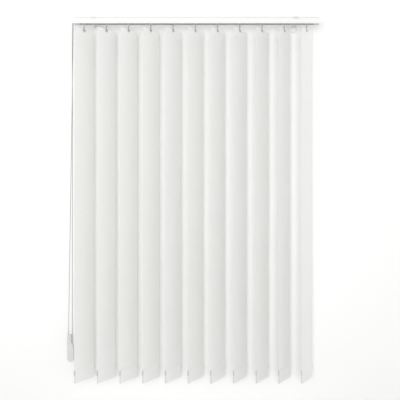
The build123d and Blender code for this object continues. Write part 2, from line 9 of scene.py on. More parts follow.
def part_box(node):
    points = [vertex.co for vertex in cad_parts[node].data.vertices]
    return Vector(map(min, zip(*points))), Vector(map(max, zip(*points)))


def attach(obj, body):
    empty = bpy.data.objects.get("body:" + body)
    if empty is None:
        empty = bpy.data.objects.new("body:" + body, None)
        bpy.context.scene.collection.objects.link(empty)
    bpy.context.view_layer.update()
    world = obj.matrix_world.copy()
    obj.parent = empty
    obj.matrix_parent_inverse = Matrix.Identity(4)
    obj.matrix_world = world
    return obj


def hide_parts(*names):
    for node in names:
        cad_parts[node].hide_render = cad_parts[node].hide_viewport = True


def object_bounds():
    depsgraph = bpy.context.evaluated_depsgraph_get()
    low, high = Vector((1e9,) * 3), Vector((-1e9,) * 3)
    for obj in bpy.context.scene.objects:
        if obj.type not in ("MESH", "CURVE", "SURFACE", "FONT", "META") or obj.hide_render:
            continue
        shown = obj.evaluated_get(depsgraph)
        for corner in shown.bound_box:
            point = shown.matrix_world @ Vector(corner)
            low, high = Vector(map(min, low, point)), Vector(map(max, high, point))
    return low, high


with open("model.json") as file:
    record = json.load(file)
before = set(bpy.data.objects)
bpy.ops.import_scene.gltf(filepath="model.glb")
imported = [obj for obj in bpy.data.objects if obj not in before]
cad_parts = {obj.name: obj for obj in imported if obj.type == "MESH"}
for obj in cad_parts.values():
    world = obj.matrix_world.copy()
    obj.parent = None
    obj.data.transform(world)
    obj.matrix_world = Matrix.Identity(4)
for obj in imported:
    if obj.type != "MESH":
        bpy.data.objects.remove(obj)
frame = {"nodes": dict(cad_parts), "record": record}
cadLow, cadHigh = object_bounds()
mm = 0.001
louvreCount = 11
print("frame loaded")


def middle(node):
    low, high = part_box(node)
    return (low + high) / 2


railLow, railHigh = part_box("headrail")
railY = (railLow.y + railHigh.y) / 2
firstLow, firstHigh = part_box("louvre_01")
hungAngle = math.atan2(firstHigh.y - firstLow.y, firstHigh.x - firstLow.x)


def tag(number):
    return f"{number:02d}"


def hangingPlace(number):  # local x along a louvre's width, y through it, z up from its top edge
    spot = middle("louvre_" + tag(number))
    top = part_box("louvre_" + tag(number))[1].z
    return Matrix.Translation((spot.x, spot.y, top)) @ Matrix.Rotation(hungAngle, 4, "Z")


# eye level is halfway down the louvres
cameraSet = {
    "lens": 45.23,
    "sensor": 36.0,
    "distance": 2.519,       # from the line of pivots
    "belowRail": 0.8809,     # eye level under the rail's lower face
    "aside": 0.023,          # from the middle louvre
    "sight": 50.0,
}
cameraData = bpy.data.cameras.new("camera")
cameraData.lens = cameraSet["lens"]
cameraData.sensor_width = cameraSet["sensor"]
cameraData.clip_end = cameraSet["sight"]
camera = bpy.data.objects.new("camera", cameraData)
camera.location = (
    middle("louvre_06").x + cameraSet["aside"],
    railY - cameraSet["distance"],
    railLow.z - cameraSet["belowRail"],
)
camera.rotation_euler = (math.radians(90), 0, 0)
bpy.context.scene.collection.objects.link(camera)
bpy.context.scene.camera = camera
print("camera placed")


# effects that several materials share are node groups
def newGroup(name, inputs, outputs):
    group = bpy.data.node_groups.new(name, "ShaderNodeTree")
    for way, sockets in (("INPUT", inputs), ("OUTPUT", outputs)):
        for label, kind in sockets:
            group.interface.new_socket(label, in_out=way, socket_type="NodeSocket" + kind)
    return group, group.nodes.new("NodeGroupInput"), group.nodes.new("NodeGroupOutput")


def mathNode(tree, operation, first, second=None, clamp=False):
    node = tree.nodes.new("ShaderNodeMath")
    node.operation = operation
    node.use_clamp = clamp
    for index, value in enumerate((first, second)):
        if value is None:
            continue
        if isinstance(value, (int, float)):
            node.inputs[index].default_value = value
        else:
            tree.links.new(value, node.inputs[index])
    return node.outputs[0]


def noiseNode(tree, vector, scale, detail=2.0, roughness=0.5):
    node = tree.nodes.new("ShaderNodeTexNoise")
    node.inputs["Detail"].default_value = detail
    node.inputs["Roughness"].default_value = roughness
    tree.links.new(vector, node.inputs["Vector"])
    if isinstance(scale, (int, float)):
        node.inputs["Scale"].default_value = scale
    else:
        tree.links.new(scale, node.inputs["Scale"])
    return node.outputs["Fac"]


def scaledVector(tree, vector, scale):
    node = tree.nodes.new("ShaderNodeMapping")
    node.inputs["Scale"].default_value = scale
    tree.links.new(vector, node.inputs["Vector"])
    return node.outputs["Vector"]


grainSet = {"coarseScale": 0.25, "coarseShare": 0.6, "patchScale": 14.0}


def makeGrainGroup():  # the fine skin of a moulding or a powder coat, and its slow patches
    group, start, end = newGroup(
        "fineGrain",
        [("Vector", "Vector"), ("Scale", "Float")],
        [("Height", "Float"), ("Patches", "Float")],
    )
    vector = start.outputs["Vector"]
    scale = start.outputs["Scale"]
    fine = noiseNode(group, vector, scale, detail=3.0, roughness=0.6)
    coarseScale = mathNode(group, "MULTIPLY", scale, grainSet["coarseScale"])
    coarse = noiseNode(group, vector, coarseScale)
    coarsePart = mathNode(group, "MULTIPLY", coarse, grainSet["coarseShare"])
    group.links.new(mathNode(group, "ADD", fine, coarsePart), end.inputs["Height"])
    patches = noiseNode(group, vector, grainSet["patchScale"], detail=3.0)
    group.links.new(patches, end.inputs["Patches"])
    return group


dustSet = {
    "colour": (0.62, 0.60, 0.56),
    "flattest": 0.45,        # upward part of the normal where dust begins
    "gather": 2.0,
    "speckScale": 60.0,
    "veil": 0.25,
}


def makeDustGroup():  # a thin veil on what faces up
    group, start, end = newGroup(
        "restingDust",
        [("Vector", "Vector"), ("Amount", "Float")],
        [("Mask", "Float")],
    )
    geometry = group.nodes.new("ShaderNodeNewGeometry")
    split = group.nodes.new("ShaderNodeSeparateXYZ")
    group.links.new(geometry.outputs["Normal"], split.inputs["Vector"])
    raised = mathNode(group, "SUBTRACT", split.outputs["Z"], dustSet["flattest"])
    upward = mathNode(group, "MULTIPLY", raised, dustSet["gather"], clamp=True)
    vector = start.outputs["Vector"]
    specks = noiseNode(group, vector, dustSet["speckScale"], detail=6.0, roughness=0.7)
    veil = mathNode(group, "MULTIPLY", upward, mathNode(group, "ADD", specks, dustSet["veil"]))
    mask = mathNode(group, "MULTIPLY", veil, start.outputs["Amount"])
    group.links.new(mask, end.inputs["Mask"])
    return group


weaveSet = {
    "weftSlub": (22, 900, 1),    # long and thin across the cloth
    "warpSlub": (700, 9, 1),
    "warpShare": 0.45,
    "slubMean": 0.72,
    "threadHeight": 0.5,
    "threadShade": 0.4,
    "shadeBase": 0.55,
}


def makeWeaveGroup():  # plain weave: warp and weft threads, with thicker slubs along the weft
    group, start, end = newGroup(
        "plainWeave",
        [("Vector", "Vector"), ("Threads per metre", "Float"), ("Slub", "Float")],
        [("Height", "Float"), ("Shade", "Float")],
    )
    vector = start.outputs["Vector"]
    split = group.nodes.new("ShaderNodeSeparateXYZ")
    group.links.new(vector, split.inputs["Vector"])
    turns = mathNode(group, "MULTIPLY", start.outputs["Threads per metre"], math.pi)
    across = mathNode(group, "SINE", mathNode(group, "MULTIPLY", split.outputs["X"], turns))
    down = mathNode(group, "SINE", mathNode(group, "MULTIPLY", split.outputs["Y"], turns))
    checker = mathNode(group, "MULTIPLY", across, down)
    over = mathNode(group, "MULTIPLY", mathNode(group, "ADD", checker, 1.0), 0.5)
    under = mathNode(group, "SUBTRACT", 1.0, over)
    warp = mathNode(group, "MULTIPLY", mathNode(group, "ABSOLUTE", across), over)
    weft = mathNode(group, "MULTIPLY", mathNode(group, "ABSOLUTE", down), under)
    crossing = mathNode(group, "ADD", warp, weft)
    weftSlub = noiseNode(group, scaledVector(group, vector, weaveSet["weftSlub"]), 1.0)
    warpSlub = noiseNode(group, scaledVector(group, vector, weaveSet["warpSlub"]), 1.0)
    warpPart = mathNode(group, "MULTIPLY", warpSlub, weaveSet["warpShare"])
    slub = mathNode(group, "ADD", weftSlub, warpPart)
    uneven = mathNode(group, "SUBTRACT", slub, weaveSet["slubMean"])
    slubPart = mathNode(group, "MULTIPLY", uneven, start.outputs["Slub"])
    raised = mathNode(group, "MULTIPLY", crossing, weaveSet["threadHeight"])
    group.links.new(mathNode(group, "ADD", raised, slubPart), end.inputs["Height"])
    threadShade = mathNode(group, "MULTIPLY", crossing, weaveSet["threadShade"])
    lit = mathNode(group, "ADD", threadShade, weaveSet["shadeBase"])
    group.links.new(mathNode(group, "ADD", lit, slubPart), end.inputs["Shade"])
    return group


grainGroup = makeGrainGroup()
dustGroup = makeDustGroup()
weaveGroup = makeWeaveGroup()
print("shared effects made")


def newMaterial(name):
    material = bpy.data.materials.new(name)
    material.use_nodes = True
    tree = material.node_tree
    shader = tree.nodes["Principled BSDF"]
    return material, tree, shader


def placeGroup(tree, group, values, vector):
    node = tree.nodes.new("ShaderNodeGroup")
    node.node_tree = group
    for label, value in values.items():
        node.inputs[label].default_value = value
    tree.links.new(vector, node.inputs["Vector"])
    return node


def coordinate(tree, kind):
    return tree.nodes.new("ShaderNodeTexCoord").outputs[kind]


def mixColour(tree, factor, first, second):
    node = tree.nodes.new("ShaderNodeMix")
    node.data_type = "RGBA"
    tree.links.new(factor, node.inputs[0])
    for socket, value in ((node.inputs[6], first), (node.inputs[7], second)):
        if isinstance(value, tuple):
            socket.default_value = (*value, 1)
        else:
            tree.links.new(value, socket)
    return node.outputs[2]


def addBump(tree, shader, height, strength, distance):
    bump = tree.nodes.new("ShaderNodeBump")
    bump.inputs["Strength"].default_value = strength
    bump.inputs["Distance"].default_value = distance
    tree.links.new(height, bump.inputs["Height"])
    tree.links.new(bump.outputs["Normal"], shader.inputs["Normal"])


def rangeNode(tree, value, low, high, start=0.0, stop=1.0):  # start to stop becomes low to high
    node = tree.nodes.new("ShaderNodeMapRange")
    node.inputs["From Min"].default_value = start
    node.inputs["From Max"].default_value = stop
    node.inputs["To Min"].default_value = low
    node.inputs["To Max"].default_value = high
    tree.links.new(value, node.inputs["Value"])
    return node.outputs[0]


def roughAround(tree, value, centre, spread):
    return rangeNode(tree, value, centre - spread, centre + spread)


skinSet = {
    "roughSpread": 0.05,
    "dustyRough": 0.3,
    "coatRoughness": 0.2,
    "softDepth": 2 * mm,
    "bumpDepth": 0.2 * mm,
}


def makeSkin(name, look):  # paint and plastic with a fine grain and a little dust
    material, tree, shader = newMaterial(name)
    place = coordinate(tree, "Object")
    grain = placeGroup(tree, grainGroup, {"Scale": look["grainScale"]}, place)
    dust = placeGroup(tree, dustGroup, {"Amount": look["dust"]}, place).outputs["Mask"]
    patches = grain.outputs["Patches"]
    tone = mixColour(tree, patches, look["colour"], look["otherColour"])
    dusted = mixColour(tree, dust, tone, dustSet["colour"])
    tree.links.new(dusted, shader.inputs["Base Color"])
    rough = roughAround(tree, patches, look["roughness"], skinSet["roughSpread"])
    dusty = mathNode(tree, "MULTIPLY", dust, skinSet["dustyRough"])
    tree.links.new(mathNode(tree, "ADD", rough, dusty, clamp=True), shader.inputs["Roughness"])
    shader.inputs["Coat Weight"].default_value = look.get("coat", 0.0)
    shader.inputs["Coat Roughness"].default_value = skinSet["coatRoughness"]
    shader.inputs["Subsurface Weight"].default_value = look.get("softness", 0.0)
    shader.inputs["Subsurface Scale"].default_value = skinSet["softDepth"]
    addBump(tree, shader, grain.outputs["Height"], look["bump"], skinSet["bumpDepth"])
    return material


# painted shade inside the hollow rail: a dark colour within its walls
railInsideShade = {
    "wall": 1.4 * mm,
    "skinShare": 0.7,        # how deep in the wall the painted shade begins
    "colour": (0.20, 0.20, 0.205),
}


def shadeRailInside(material, low, high):  # painted shade: the inside of a hollow rail is coloured dark, so the slot in its underside looks shaded
    tree = material.node_tree
    shader = tree.nodes["Principled BSDF"]
    split = tree.nodes.new("ShaderNodeSeparateXYZ")
    tree.links.new(coordinate(tree, "Object"), split.inputs["Vector"])
    masks = []
    for axis, least, most in (("Y", low.y, high.y), ("Z", low.z, high.z)):
        reach = (most - least) / 2 - railInsideShade["wall"] * railInsideShade["skinShare"]
        offset = mathNode(tree, "SUBTRACT", split.outputs[axis], (least + most) / 2)
        distance = mathNode(tree, "ABSOLUTE", offset)
        masks.append(mathNode(tree, "LESS_THAN", distance, reach))
    inside = mathNode(tree, "MULTIPLY", masks[0], masks[1])
    painted = shader.inputs["Base Color"].links[0].from_socket
    shadedInside = mixColour(tree, inside, painted, railInsideShade["colour"])
    tree.links.new(shadedInside, shader.inputs["Base Color"])


brushedSet = {"roughSpread": 0.1, "bump": 0.15, "bumpDepth": 0.1 * mm}


def makeBrushed(name, look):  # drawn or rolled metal, with long fine lines along X
    material, tree, shader = newMaterial(name)
    stretched = scaledVector(tree, coordinate(tree, "Object"), look["lines"])
    lines = noiseNode(tree, stretched, 1.0, detail=3.0, roughness=0.6)
    tone = mixColour(tree, lines, look["colour"], look["otherColour"])
    tree.links.new(tone, shader.inputs["Base Color"])
    rough = roughAround(tree, lines, look["roughness"], brushedSet["roughSpread"])
    tree.links.new(rough, shader.inputs["Roughness"])
    shader.inputs["Metallic"].default_value = 1.0
    addBump(tree, shader, lines, brushedSet["bump"], brushedSet["bumpDepth"])
    return material


clothSet = {
    "cloud": (9, 2.2, 1),
    "roughness": 0.84,
    "roughSpread": 0.06,
    "sheen": 0.25,
    "sheenRoughness": 0.5,
    "specular": 0.3,
    "bumpDepth": 0.3 * mm,
}


def makeCloth(name, look):
    material, tree, shader = newMaterial(name)
    flat = coordinate(tree, "UV")
    threads = {"Threads per metre": look["threads"], "Slub": look["slub"]}
    weave = placeGroup(tree, weaveGroup, threads, flat)
    cloud = noiseNode(tree, scaledVector(tree, flat, clothSet["cloud"]), 1.0)
    tone = mixColour(tree, cloud, look["colour"], look["otherColour"])
    shade = rangeNode(tree, weave.outputs["Shade"], 0.0, 1.0)
    shaded = mixColour(tree, shade, look["shadow"], tone)
    tree.links.new(shaded, shader.inputs["Base Color"])
    rough = roughAround(tree, cloud, clothSet["roughness"], clothSet["roughSpread"])
    tree.links.new(rough, shader.inputs["Roughness"])
    shader.inputs["Sheen Weight"].default_value = clothSet["sheen"]
    shader.inputs["Sheen Roughness"].default_value = clothSet["sheenRoughness"]
    shader.inputs["Specular IOR Level"].default_value = clothSet["specular"]
    addBump(tree, shader, weave.outputs["Height"], look["bump"], clothSet["bumpDepth"])
    return material


braidSet = {
    "fuzz": (40, 2500, 1),
    "fuzzShare": 0.3,
    "roughness": 0.75,
    "roughSpread": 0.1,
    "sheen": 0.3,
    "bump": 0.6,
    "bumpDepth": 0.3 * mm,
}


# two sets of strands that spiral opposite ways; u is round the cord, v along it
def makeBraid(name, look):
    material, tree, shader = newMaterial(name)
    flat = coordinate(tree, "UV")
    split = tree.nodes.new("ShaderNodeSeparateXYZ")
    tree.links.new(flat, split.inputs["Vector"])
    around = mathNode(tree, "MULTIPLY", split.outputs["X"], 2 * math.pi * look["strands"])
    along = mathNode(tree, "MULTIPLY", split.outputs["Y"], 2 * math.pi / look["rise"])
    strands = []
    for way in ("ADD", "SUBTRACT"):
        spiral = mathNode(tree, "SINE", mathNode(tree, way, around, along))
        strands.append(mathNode(tree, "ABSOLUTE", spiral))
    braid = mathNode(tree, "MAXIMUM", strands[0], strands[1])
    fuzz = noiseNode(tree, scaledVector(tree, flat, braidSet["fuzz"]), 1.0)
    fuzzPart = mathNode(tree, "MULTIPLY", fuzz, braidSet["fuzzShare"])
    height = mathNode(tree, "ADD", braid, fuzzPart)
    tone = mixColour(tree, height, look["shadow"], look["colour"])
    tree.links.new(tone, shader.inputs["Base Color"])
    rough = roughAround(tree, fuzz, braidSet["roughness"], braidSet["roughSpread"])
    tree.links.new(rough, shader.inputs["Roughness"])
    shader.inputs["Sheen Weight"].default_value = braidSet["sheen"]
    addBump(tree, shader, height, braidSet["bump"], braidSet["bumpDepth"])
    return material


looks = {
    "rail_paint": {
        "colour": (0.78, 0.78, 0.772), "otherColour": (0.80, 0.80, 0.795), "roughness": 0.42,
        "grainScale": 1500.0, "bump": 0.12, "dust": 0.10, "coat": 0.1,
    },
    "bracket_paint": {
        "colour": (0.86, 0.86, 0.85), "otherColour": (0.89, 0.89, 0.88), "roughness": 0.42,
        "grainScale": 1200.0, "bump": 0.18, "dust": 0.14, "coat": 0.15,
    },
    "cap_plastic": {
        "colour": (0.87, 0.87, 0.86), "otherColour": (0.90, 0.90, 0.885), "roughness": 0.48,
        "grainScale": 2200.0, "bump": 0.25, "dust": 0.10, "softness": 0.08,
    },
    "wheel_plastic": {
        "colour": (0.80, 0.80, 0.76), "otherColour": (0.84, 0.84, 0.80), "roughness": 0.38,
        "grainScale": 1800.0, "bump": 0.12, "dust": 0.05, "softness": 0.12,
    },
    # painted shade: the carriers are coloured dark grey so the rail's slot they ride in looks
    # shaded
    "carrier_plastic": {
        "colour": (0.42, 0.42, 0.41), "otherColour": (0.48, 0.48, 0.47), "roughness": 0.42,
        "grainScale": 1800.0, "bump": 0.15, "dust": 0.05, "softness": 0.1,
    },
    # painted shade: the hangers are coloured dark grey to stand for the shade under the rail that
    # their stems hang in
    "hanger_plastic": {
        "colour": (0.36, 0.36, 0.355), "otherColour": (0.42, 0.42, 0.41), "roughness": 0.36,
        "grainScale": 2000.0, "bump": 0.12, "dust": 0.04, "softness": 0.15,
    },
    "weight_plastic": {
        "colour": (0.58, 0.58, 0.57), "otherColour": (0.64, 0.64, 0.63), "roughness": 0.5,
        "grainScale": 1600.0, "bump": 0.2, "dust": 0.05,
    },
    "cord_weight_plastic": {
        "colour": (0.60, 0.60, 0.592), "otherColour": (0.64, 0.64, 0.632), "roughness": 0.3,
        "grainScale": 1700.0, "bump": 0.1, "dust": 0.08, "coat": 0.3, "softness": 0.08,
    },
}
metalLooks = {
    "clip_steel": {
        "colour": (0.56, 0.57, 0.58), "otherColour": (0.72, 0.73, 0.74), "roughness": 0.35,
        "lines": (60, 1500, 1500),
    },
    "screw_steel": {
        "colour": (0.10, 0.10, 0.105), "otherColour": (0.16, 0.16, 0.165), "roughness": 0.5,
        "lines": (900, 900, 900),
    },
    "rod_metal": {
        "colour": (0.66, 0.67, 0.68), "otherColour": (0.80, 0.80, 0.81), "roughness": 0.3,
        "lines": (12, 2500, 2500),
    },
}
clothLook = {
    "colour": (0.868, 0.868, 0.85), "otherColour": (0.888, 0.888, 0.876),
    "shadow": (0.735, 0.735, 0.72),
    "threads": 1500.0, "slub": 0.55, "bump": 0.35,
}
# painted shade: the grey-white cord is coloured dark grey to stand for the shade it hangs in; its
# shadow tone darkens the grooves between strands
braidLook = {
    "colour": (0.24, 0.24, 0.237), "shadow": (0.09, 0.09, 0.088), "strands": 4, "rise": 4.2 * mm,
}
threadLook = {
    "colour": (0.84, 0.84, 0.82), "otherColour": (0.88, 0.88, 0.86), "shadow": (0.66, 0.66, 0.64),
    "threads": 4000.0, "slub": 0.2, "bump": 0.3,
}

materials = {name: makeSkin(name, look) for name, look in looks.items()}
materials.update({name: makeBrushed(name, look) for name, look in metalLooks.items()})
materials["louvre_cloth"] = makeCloth("louvre_cloth", clothLook)
materials["cord_braid"] = makeBraid("cord_braid", braidLook)
materials["hem_thread"] = makeCloth("hem_thread", threadLook)

# painted shade: the rail's inside is coloured dark so its slot looks shaded
shadeRailInside(materials["rail_paint"], railLow, railHigh)

for part in frame["record"]["subparts"]:
    node = frame["nodes"][part["node"]]
    for place in node.material_slots:
        place.material = materials[part["material_slot"]]
print("materials on the carried-over parts")


def addPiece(name, mesh, body, material):
    piece = bpy.data.objects.new(name, mesh)
    bpy.context.scene.collection.objects.link(piece)
    mesh.materials.clear()
    mesh.materials.append(material)
    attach(piece, body)
    return piece


def meshFrom(bm, name, smooth=True):
    mesh = bpy.data.meshes.new(name)
    bm.to_mesh(mesh)
    bm.free()
    for face in mesh.polygons:
        face.use_smooth = smooth
    return mesh


def ofKind(geometry, kind):
    return [item for item in geometry if isinstance(item, kind)]


def growEdges(bm, edges):  # the vertices and edges of one more step along an open strip
    grown = bmesh.ops.extrude_edge_only(bm, edges=edges)["geom"]
    verts = ofKind(grown, bmesh.types.BMVert)
    edges = ofKind(grown, bmesh.types.BMEdge)
    return verts, [edge for edge in edges if all(vertex in verts for vertex in edge.verts)]


def bakeModifiers(piece, name):  # the mesh with its modifiers applied; the piece itself goes
    graph = bpy.context.evaluated_depsgraph_get()
    mesh = bpy.data.meshes.new_from_object(piece.evaluated_get(graph))
    mesh.name = name
    bpy.data.objects.remove(piece)
    return mesh


cordSet = {
    "diameter": 2.4 * mm,
    "overWheel": 8.0 * mm,       # from a wheel's axis to the cord's middle
    "underPulley": 9.75 * mm,
    "gapOnWheel": 1.6 * mm,      # half the space between the two ends on top of the drive wheel
    "straightOut": 22.0 * mm,
    "straightIn": 40.0 * mm,
    "nearEnd": 14.5 * mm,
    "sides": 12,
    "resolution": 24,            # points from one bend to the next
}


def cordRoute():
    wheel = middle("drive_wheel")
    pulley = middle("weight_pulley")
    wheelReach, pulleyReach = cordSet["overWheel"], cordSet["underPulley"]
    gap = cordSet["gapOnWheel"]
    out = railLow.z - cordSet["straightOut"]
    half = []
    # the front strand goes to the right of the pulley, the back one to its left
    for side in (1, -1):
        exitY = wheel.y - side * wheelReach
        strandX = pulley.x + side * pulleyReach
        top = Vector((wheel.x, exitY, out))
        low = Vector((strandX, pulley.y, pulley.z + cordSet["straightIn"]))
        run = (low - top).normalized()
        half.append([
            Vector((wheel.x, wheel.y - side * gap, wheel.z + wheelReach)),
            Vector((wheel.x, exitY, wheel.z + wheelReach)),
            Vector((wheel.x, exitY, wheel.z - wheelReach)),
            top,
            top + run * cordSet["nearEnd"],
            low - run * cordSet["nearEnd"],
            low,
            Vector((strandX, pulley.y, pulley.z + pulleyReach)),
            Vector((strandX, pulley.y, pulley.z - pulleyReach)),
        ])
    return half[0] + half[1][::-1]


def followNurbs(points, name, resolution):  # points along the smooth line that these ones steer
    curve = bpy.data.curves.new(name, "CURVE")
    curve.dimensions = "3D"
    curve.resolution_u = resolution
    spline = curve.splines.new("NURBS")
    spline.points.add(len(points) - 1)
    for place, point in zip(spline.points, points):
        place.co = (*point, 1)
    spline.order_u = 3
    spline.use_endpoint_u = True
    holder = bpy.data.objects.new(name, curve)
    bpy.context.scene.collection.objects.link(holder)
    mesh = bpy.data.meshes.new_from_object(holder)
    line = [vertex.co.copy() for vertex in mesh.vertices]
    bpy.data.objects.remove(holder)
    bpy.data.meshes.remove(mesh)
    return line


# one place for each point of a line, turned as little as possible from one to the next
def ringPlaces(line):
    places = []
    turn = (line[1] - line[0]).to_track_quat("Z", "Y")
    for index, point in enumerate(line):
        before = line[max(index - 1, 0)]
        after = line[min(index + 1, len(line) - 1)]
        heading = (after - before).normalized()
        turn = (turn @ Vector((0, 0, 1))).rotation_difference(heading) @ turn
        places.append(Matrix.Translation(point) @ turn.to_matrix().to_4x4())
    return places


def makeTube(line, radius, sides, name):
    bm = bmesh.new()
    aroundLayer = bm.verts.layers.float.new("around")
    alongLayer = bm.verts.layers.float.new("along")
    places = ringPlaces(line)
    made = bmesh.ops.create_circle(bm, segments=sides, radius=radius, matrix=places[0])
    for index, vertex in enumerate(made["verts"]):
        vertex[aroundLayer] = index / sides
    edges = list(bm.edges)
    run = 0.0
    for before, after, old, new in zip(places, places[1:], line, line[1:]):
        run += (new - old).length
        ring, edges = growEdges(bm, edges)
        bmesh.ops.transform(bm, matrix=after @ before.inverted(), verts=ring)
        for vertex in ring:
            vertex[alongLayer] = run
    uvLayer = bm.loops.layers.uv.new("UVMap")
    for face in bm.faces:
        turns = [vertex[aroundLayer] for vertex in face.verts]
        wraps = max(turns) > 0.5 + min(turns)
        for loop in face.loops:
            around = loop.vert[aroundLayer]
            if wraps and around < 0.5:
                around += 1
            loop[uvLayer].uv = (around, loop.vert[alongLayer])
    ends = [edge for edge in bm.edges if edge.is_boundary]
    bmesh.ops.holes_fill(bm, edges=ends, sides=0)
    bmesh.ops.recalc_face_normals(bm, faces=bm.faces)
    return meshFrom(bm, name)


cordLine = followNurbs(cordRoute(), "controlCordLine", cordSet["resolution"])
cordMesh = makeTube(cordLine, cordSet["diameter"] / 2, cordSet["sides"], "control_cord")
controlCord = addPiece("control_cord", cordMesh, "root", materials["cord_braid"])
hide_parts("loop_cord")


louvreSet = {
    "cloth": 0.45 * mm,
    "topSeam": 26.8 * mm,        # below the louvre's top
    "bottomSeam": 67.4 * mm,     # above the louvre's bottom
    "turnUnder": 3.5 * mm,       # cloth beyond a seam
    "topHalf": 1.125 * mm,       # from the middle of a pocket to the middle of its cloth
    "bottomHalf": 1.525 * mm,
    "backAtSeam": 0.46 * mm,
    "topNip": 2.2 * mm,          # from a seam to where its pocket is full
    "bottomNip": 2.4 * mm,
    "topPinch": 0.25,            # how much of its half a pocket's front keeps at the seam
    "bottomPinch": 0.2,
    "topRows": (18, 12, 6),      # mm from the louvre's top
    "bottomRows": (50, 36, 22, 10),
    "foldTurns": (0.0, 0.8, math.pi / 2, math.pi - 0.8, math.pi),  # round a pocket's end
    "easeTop": 8 * mm,
    "easeBottom": 9 * mm,
    "rows": 44,
    "columns": (-63.5, -62.9, -57, -46, -34, -22, -12, 0, 12, 22, 34, 46, 57, 62.9, 63.5),
    "notchWidth": 16 * mm,
    "notchDepth": 13 * mm,
    "notchCorner": 3 * mm,
    "notchReach": 12 * mm,       # of the cutter, through the louvre
    "sway": 0.45 * mm,
    "leastSway": 0.6,
    "swayTurn": 5.5,             # radians from the top pocket to the bottom one
    "ripple": 0.25 * mm,
    "rippleAcross": 40,          # radians per metre
    "rippleDown": 9,
    "twist": 0.35,               # degrees at mid height
    "seed": 100,
    "cut": (0.127, 1.8545),      # the flat cloth, before the pockets are folded
}
louvreDrop = firstHigh.z - firstLow.z


def freeSpan():  # the height where the cloth starts to hang free, and where it stops
    s = louvreSet
    return -s["topSeam"] - s["easeTop"], -louvreDrop + s["bottomSeam"] + s["easeBottom"]


# y through the louvre, z down from its top; the folded edge lies on the wall side
def clothProfile():
    s = louvreSet
    top, low, drop = s["topHalf"], s["bottomHalf"], louvreDrop
    skin, back = s["cloth"] / 2, s["backAtSeam"]
    topSeam, lowSeam = -s["topSeam"], -drop + s["bottomSeam"]
    points = [(back, topSeam - s["turnUnder"]), (back, topSeam), (top, topSeam + s["topNip"])]
    points += [(top, -z * mm) for z in s["topRows"]]
    points += [(top * math.cos(a), -skin - top + top * math.sin(a)) for a in s["foldTurns"]]
    points += [(-top, -z * mm) for z in reversed(s["topRows"])]
    points += [(-top, topSeam + s["topNip"]), (-s["topPinch"] * top, topSeam)]
    start, stop = freeSpan()
    points += [(0, start + (stop - start) * row / s["rows"]) for row in range(s["rows"] + 1)]
    points += [(-s["bottomPinch"] * low, lowSeam), (-low, lowSeam - s["bottomNip"])]
    points += [(-low, -drop + z * mm) for z in s["bottomRows"]]
    points += [(-low * math.cos(a), -drop + skin + low - low * math.sin(a)) for a in s["foldTurns"]]
    points += [(low, -drop + z * mm) for z in reversed(s["bottomRows"])]
    points += [(low, lowSeam - s["bottomNip"]), (back, lowSeam), (back, lowSeam + s["turnUnder"])]
    return points


# an upright block whose corners are round when it is seen from the front
def roundedBlock(width, depth, height, corner, name):
    bm = bmesh.new()
    bmesh.ops.create_cube(bm, size=1.0, matrix=Matrix.Diagonal((width, depth, height, 1)))
    through = [e for e in bm.edges if abs(e.verts[0].co.y - e.verts[1].co.y) > depth / 2]
    bmesh.ops.bevel(
        bm, geom=through, offset=corner, offset_type="OFFSET", segments=5, profile=0.5,
        affect="EDGES", material=-1,
    )
    return meshFrom(bm, name, False)


def flatLouvreMesh():  # one hemmed strip with its notch, before it is hung
    s = louvreSet
    bm = bmesh.new()
    columns = [x * mm for x in s["columns"]]
    chain = [bm.verts.new((columns[0], y, z)) for y, z in clothProfile()]
    edges = [bm.edges.new(pair) for pair in zip(chain, chain[1:])]
    for before, after in zip(columns, columns[1:]):
        fresh, edges = growEdges(bm, edges)
        bmesh.ops.translate(bm, vec=(after - before, 0, 0), verts=fresh)
    uvLayer = bm.loops.layers.uv.new("UVMap")
    for face in bm.faces:
        for loop in face.loops:
            loop[uvLayer].uv = (loop.vert.co.x, loop.vert.co.z)
    strip = bpy.data.objects.new("strip", meshFrom(bm, "strip"))
    block = roundedBlock(
        s["notchWidth"], s["notchReach"], 2 * s["notchDepth"], s["notchCorner"], "notch",
    )
    cutter = bpy.data.objects.new("notch", block)
    for item in (strip, cutter):
        bpy.context.scene.collection.objects.link(item)
    wall = strip.modifiers.new("wall", "SOLIDIFY")
    wall.thickness = s["cloth"]
    wall.offset = 0
    notch = strip.modifiers.new("notch", "BOOLEAN")
    notch.operation = "DIFFERENCE"
    notch.solver = "EXACT"
    notch.object = cutter
    mesh = bakeModifiers(strip, "flatLouvre")
    bpy.data.objects.remove(cutter)
    return mesh


def hangLouvre(flatMesh, number):  # each hangs a little differently between its two pockets
    s = louvreSet
    draw = random.Random(s["seed"] + number)
    phase = draw.uniform(0, 2 * math.pi)
    sway = s["sway"] * draw.uniform(s["leastSway"], 1.0)
    twist = math.radians(s["twist"]) * draw.uniform(-1, 1)
    place = hangingPlace(number)
    mesh = flatMesh.copy()
    mesh.name = "louvre_cloth_" + tag(number)
    start, stop = freeSpan()
    for vertex in mesh.vertices:
        x, y, z = vertex.co
        part = min(max((z - start) / (stop - start), 0), 1)
        free = math.sin(math.pi * part) ** 2
        wave = sway * math.sin(s["swayTurn"] * part + phase) + twist * x
        ripple = math.sin(3 * phase + s["rippleAcross"] * x + s["rippleDown"] * part)
        y += free * (wave + s["ripple"] * ripple)
        vertex.co = place @ Vector((x, y, z))
    return mesh


stitchSet = {
    "pitch": 3.1 * mm,
    "length": 2.5 * mm,
    "thick": 0.34 * mm,
    "inset": 1.6 * mm,
    "offSeam": 0.3 * mm,
    "frontShare": 0.2,           # of a pocket's half, where its front cloth meets the seam
    "lean": 4,                   # degrees
}


